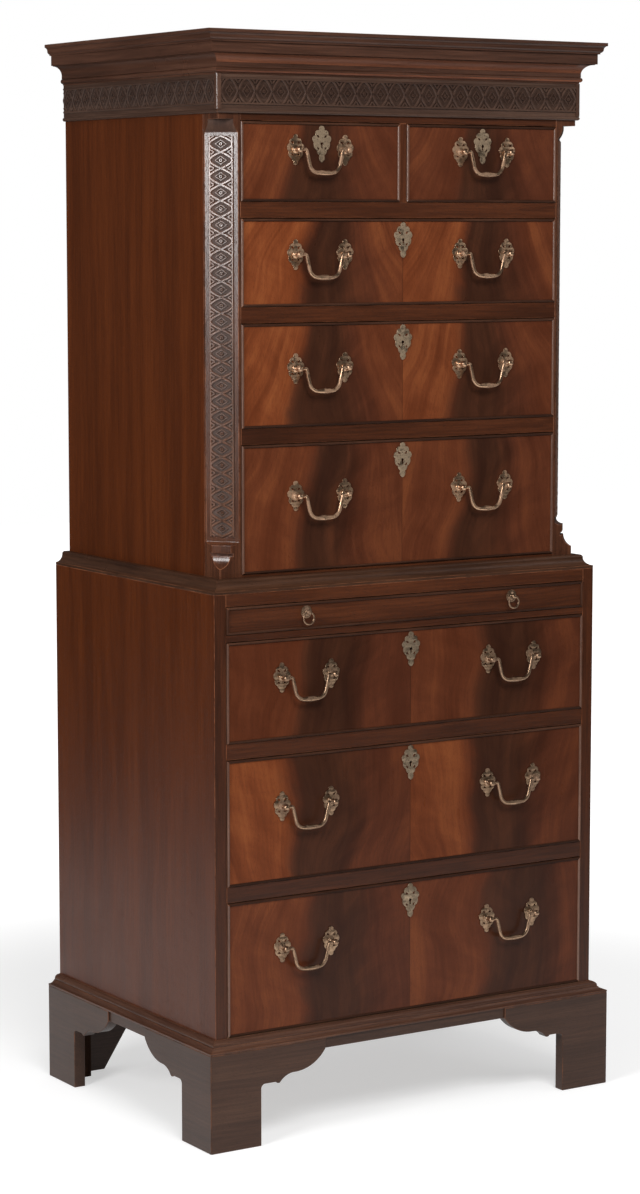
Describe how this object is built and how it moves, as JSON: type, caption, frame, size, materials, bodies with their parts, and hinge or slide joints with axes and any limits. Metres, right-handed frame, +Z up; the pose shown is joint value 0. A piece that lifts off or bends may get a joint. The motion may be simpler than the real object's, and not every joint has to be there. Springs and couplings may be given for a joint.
{
  "type": "chest on chest",
  "caption": "Tall mahogany chest on chest: drawers under a carved frieze and cornice, canted fretted corners, swan-neck brass pulls, brushing slide and bracket feet.",
  "frame": {"origin": "on the floor under the middle of the whole piece, half way across its width and its depth over the feet", "axes": "+X to the right of someone facing the front, +Y to the back, +Z up; the drawers open towards -Y"},
  "size_m": [0.772, 0.544, 1.73],
  "materials": {
    "mahogany": "polished",
    "flame_veneer": "polished",
    "secondary_wood": "bare",
    "brass": "aged"
  },
  "bodies": {
    "lower_case": {"lower_sides": "mahogany", "lower_back": "secondary_wood", "lower_rails": "mahogany", "lower_boards": "secondary_wood", "waist_moulding": "mahogany", "base_moulding": "mahogany", "base_frame": "secondary_wood", "front_feet": "mahogany", "rear_feet": "mahogany"},
    "upper_case": {"upper_sides": "mahogany", "upper_back": "secondary_wood", "upper_rails": "mahogany", "upper_boards": "secondary_wood", "canted_corners": "mahogany", "frieze": "mahogany", "cornice": "mahogany"},
    "lower_drawer_3": {"lower_drawer_3_front": "flame_veneer", "lower_drawer_3_box": "secondary_wood", "lower_drawer_3_brass": "brass"},
    "lower_drawer_3_bail_left": {"lower_drawer_3_bail_left": "brass"},
    "lower_drawer_3_bail_right": {"lower_drawer_3_bail_right": "brass"},
    "lower_drawer_2": {"lower_drawer_2_front": "flame_veneer", "lower_drawer_2_box": "secondary_wood", "lower_drawer_2_brass": "brass"},
    "lower_drawer_2_bail_left": {"lower_drawer_2_bail_left": "brass"},
    "lower_drawer_2_bail_right": {"lower_drawer_2_bail_right": "brass"},
    "lower_drawer_1": {"lower_drawer_1_front": "flame_veneer", "lower_drawer_1_box": "secondary_wood", "lower_drawer_1_brass": "brass"},
    "lower_drawer_1_bail_left": {"lower_drawer_1_bail_left": "brass"},
    "lower_drawer_1_bail_right": {"lower_drawer_1_bail_right": "brass"},
    "upper_drawer_3": {"upper_drawer_3_front": "flame_veneer", "upper_drawer_3_box": "secondary_wood", "upper_drawer_3_brass": "brass"},
    "upper_drawer_3_bail_left": {"upper_drawer_3_bail_left": "brass"},
    "upper_drawer_3_bail_right": {"upper_drawer_3_bail_right": "brass"},
    "upper_drawer_2": {"upper_drawer_2_front": "flame_veneer", "upper_drawer_2_box": "secondary_wood", "upper_drawer_2_brass": "brass"},
    "upper_drawer_2_bail_left": {"upper_drawer_2_bail_left": "brass"},
    "upper_drawer_2_bail_right": {"upper_drawer_2_bail_right": "brass"},
    "upper_drawer_1": {"upper_drawer_1_front": "flame_veneer", "upper_drawer_1_box": "secondary_wood", "upper_drawer_1_brass": "brass"},
    "upper_drawer_1_bail_left": {"upper_drawer_1_bail_left": "brass"},
    "upper_drawer_1_bail_right": {"upper_drawer_1_bail_right": "brass"},
    "short_drawer_left": {"short_drawer_left_front": "flame_veneer", "short_drawer_left_box": "secondary_wood", "short_drawer_left_brass": "brass"},
    "short_drawer_left_bail": {"short_drawer_left_bail": "brass"},
    "short_drawer_right": {"short_drawer_right_front": "flame_veneer", "short_drawer_right_box": "secondary_wood", "short_drawer_right_brass": "brass"},
    "short_drawer_right_bail": {"short_drawer_right_bail": "brass"},
    "slide": {"slide_board": "mahogany", "slide_brass": "brass"},
    "slide_ring_left": {"slide_ring_left": "brass"},
    "slide_ring_right": {"slide_ring_right": "brass"}
  },
  "joints": [
    {"name": "upper_lift", "type": "slide", "parent": "lower_case", "child": "upper_case", "axis": [0, 0, 1], "range_m": [0, 0.05]},
    {"name": "lower_drawer_3_slide", "type": "slide", "parent": "lower_case", "child": "lower_drawer_3", "axis": [0, -1, 0], "range_m": [0, 0.36]},
    {"name": "lower_drawer_3_bail_left_swing", "type": "hinge", "parent": "lower_drawer_3", "child": "lower_drawer_3_bail_left", "pos_m": [-0.197, -0.264, 0.3075], "axis": [-1, 0, 0], "range_deg": [-10, 170]},
    {"name": "lower_drawer_3_bail_right_swing", "type": "hinge", "parent": "lower_drawer_3", "child": "lower_drawer_3_bail_right", "pos_m": [0.197, -0.264, 0.3075], "axis": [-1, 0, 0], "range_deg": [-10, 170]},
    {"name": "lower_drawer_2_slide", "type": "slide", "parent": "lower_case", "child": "lower_drawer_2", "axis": [0, -1, 0], "range_m": [0, 0.36]},
    {"name": "lower_drawer_2_bail_left_swing", "type": "hinge", "parent": "lower_drawer_2", "child": "lower_drawer_2_bail_left", "pos_m": [-0.197, -0.264, 0.5335], "axis": [-1, 0, 0], "range_deg": [-10, 170]},
    {"name": "lower_drawer_2_bail_right_swing", "type": "hinge", "parent": "lower_drawer_2", "child": "lower_drawer_2_bail_right", "pos_m": [0.197, -0.264, 0.5335], "axis": [-1, 0, 0], "range_deg": [-10, 170]},
    {"name": "lower_drawer_1_slide", "type": "slide", "parent": "lower_case", "child": "lower_drawer_1", "axis": [0, -1, 0], "range_m": [0, 0.36]},
    {"name": "lower_drawer_1_bail_left_swing", "type": "hinge", "parent": "lower_drawer_1", "child": "lower_drawer_1_bail_left", "pos_m": [-0.197, -0.264, 0.737], "axis": [-1, 0, 0], "range_deg": [-10, 170]},
    {"name": "lower_drawer_1_bail_right_swing", "type": "hinge", "parent": "lower_drawer_1", "child": "lower_drawer_1_bail_right", "pos_m": [0.197, -0.264, 0.737], "axis": [-1, 0, 0], "range_deg": [-10, 170]},
    {"name": "upper_drawer_3_slide", "type": "slide", "parent": "upper_case", "child": "upper_drawer_3", "axis": [0, -1, 0], "range_m": [0, 0.35]},
    {"name": "upper_drawer_3_bail_left_swing", "type": "hinge", "parent": "upper_drawer_3", "child": "upper_drawer_3_bail_left", "pos_m": [-0.155, -0.238, 1.017], "axis": [-1, 0, 0], "range_deg": [-10, 170]},
    {"name": "upper_drawer_3_bail_right_swing", "type": "hinge", "parent": "upper_drawer_3", "child": "upper_drawer_3_bail_right", "pos_m": [0.155, -0.238, 1.017], "axis": [-1, 0, 0], "range_deg": [-10, 170]},
    {"name": "upper_drawer_2_slide", "type": "slide", "parent": "upper_case", "child": "upper_drawer_2", "axis": [0, -1, 0], "range_m": [0, 0.35]},
    {"name": "upper_drawer_2_bail_left_swing", "type": "hinge", "parent": "upper_drawer_2", "child": "upper_drawer_2_bail_left", "pos_m": [-0.155, -0.238, 1.2155], "axis": [-1, 0, 0], "range_deg": [-10, 170]},
    {"name": "upper_drawer_2_bail_right_swing", "type": "hinge", "parent": "upper_drawer_2", "child": "upper_drawer_2_bail_right", "pos_m": [0.155, -0.238, 1.2155], "axis": [-1, 0, 0], "range_deg": [-10, 170]},
    {"name": "upper_drawer_1_slide", "type": "slide", "parent": "upper_case", "child": "upper_drawer_1", "axis": [0, -1, 0], "range_m": [0, 0.35]},
    {"name": "upper_drawer_1_bail_left_swing", "type": "hinge", "parent": "upper_drawer_1", "child": "upper_drawer_1_bail_left", "pos_m": [-0.155, -0.238, 1.3915], "axis": [-1, 0, 0], "range_deg": [-10, 170]},
    {"name": "upper_drawer_1_bail_right_swing", "type": "hinge", "parent": "upper_drawer_1", "child": "upper_drawer_1_bail_right", "pos_m": [0.155, -0.238, 1.3915], "axis": [-1, 0, 0], "range_deg": [-10, 170]},
    {"name": "short_drawer_left_slide", "type": "slide", "parent": "upper_case", "child": "short_drawer_left", "axis": [0, -1, 0], "range_m": [0, 0.35]},
    {"name": "short_drawer_left_bail_swing", "type": "hinge", "parent": "short_drawer_left", "child": "short_drawer_left_bail", "pos_m": [-0.155, -0.238, 1.5525], "axis": [-1, 0, 0], "range_deg": [-10, 170]},
    {"name": "short_drawer_right_slide", "type": "slide", "parent": "upper_case", "child": "short_drawer_right", "axis": [0, -1, 0], "range_m": [0, 0.35]},
    {"name": "short_drawer_right_bail_swing", "type": "hinge", "parent": "short_drawer_right", "child": "short_drawer_right_bail", "pos_m": [0.155, -0.238, 1.5525], "axis": [-1, 0, 0], "range_deg": [-10, 170]},
    {"name": "slide_draw", "type": "slide", "parent": "lower_case", "child": "slide", "axis": [0, -1, 0], "range_m": [0, 0.25]},
    {"name": "slide_ring_left_swing", "type": "hinge", "parent": "slide", "child": "slide_ring_left", "pos_m": [-0.197, -0.258, 0.837], "axis": [-1, 0, 0], "range_deg": [0, 100]},
    {"name": "slide_ring_right_swing", "type": "hinge", "parent": "slide", "child": "slide_ring_right", "pos_m": [0.197, -0.258, 0.837], "axis": [-1, 0, 0], "range_deg": [0, 100]}
  ]
}
